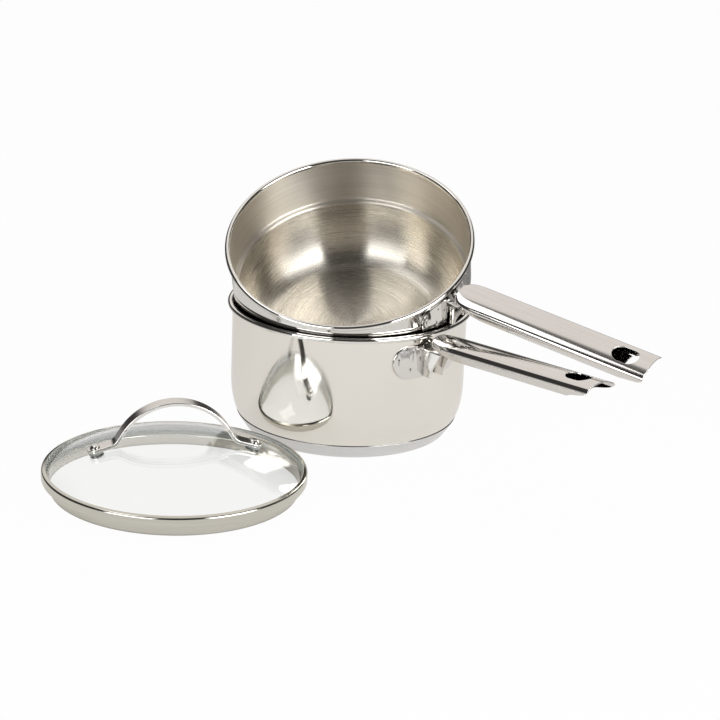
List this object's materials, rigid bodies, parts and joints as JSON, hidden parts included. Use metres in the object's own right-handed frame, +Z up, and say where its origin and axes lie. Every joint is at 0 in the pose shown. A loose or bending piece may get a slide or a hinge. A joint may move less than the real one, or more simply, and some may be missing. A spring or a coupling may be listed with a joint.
{
  "type": "double boiler",
  "caption": "Steel double boiler: round saucepan with a hollow side handle, an insert pan leaning tilted in its mouth, and a domed glass lid with a steel band and strap handle beside it.",
  "frame": {"origin": "centre of the lower saucepan's flat base, on the surface it stands on", "axes": "+Z up along the lower saucepan's axis, +X out along its handle, +Y to the left of the handle"},
  "size_m": [0.3566, 0.3799, 0.194],
  "materials": {
    "polished_steel": "mirror-polished stainless steel of the lower saucepan",
    "base_steel": "finely turned stainless steel base cap",
    "satin_steel": "circularly brushed satin stainless steel with a polished rim",
    "handle_steel": "lengthwise brushed stainless steel sheet with polished edges",
    "bracket_steel": "pressed and polished stainless steel sheet",
    "core_aluminium": "plain aluminium heat disc",
    "lid_glass": "clear tempered glass with a green edge",
    "band_steel": "satin rolled stainless steel band",
    "seal_rubber": "grey-green silicone",
    "strap_steel": "satin stainless strap with polished edges",
    "rivet_steel": "polished stainless steel rivet and washer"
  },
  "bodies": {
    "lower_pan": {"lower_pan_shell": "polished_steel", "base_core_disc": "core_aluminium", "base_cap": "base_steel", "lower_bracket": "bracket_steel", "lower_handle": "handle_steel"},
    "insert": {"insert_shell": "satin_steel", "insert_bracket": "bracket_steel", "insert_handle": "handle_steel"},
    "lid": {"lid_glass": "lid_glass", "lid_rim_band": "band_steel", "lid_glass_gasket": "seal_rubber", "lid_handle": "strap_steel", "lid_rivet_left": "rivet_steel", "lid_top_washer_left": "seal_rubber", "lid_bottom_washer_left": "rivet_steel", "lid_hole_sleeve_left": "seal_rubber", "lid_rivet_right": "rivet_steel", "lid_top_washer_right": "seal_rubber", "lid_bottom_washer_right": "rivet_steel", "lid_hole_sleeve_right": "seal_rubber"}
  },
  "joints": [
    {"name": "insert_lift", "type": "slide", "parent": "lower_pan", "child": "insert", "axis": [0, 0, 1], "range_m": [0, 0.12]},
    {"name": "lid_lift", "type": "slide", "parent": "lower_pan", "child": "lid", "axis": [0.0383, -0.256, 0.9659], "range_m": [0, 0.15]}
  ]
}
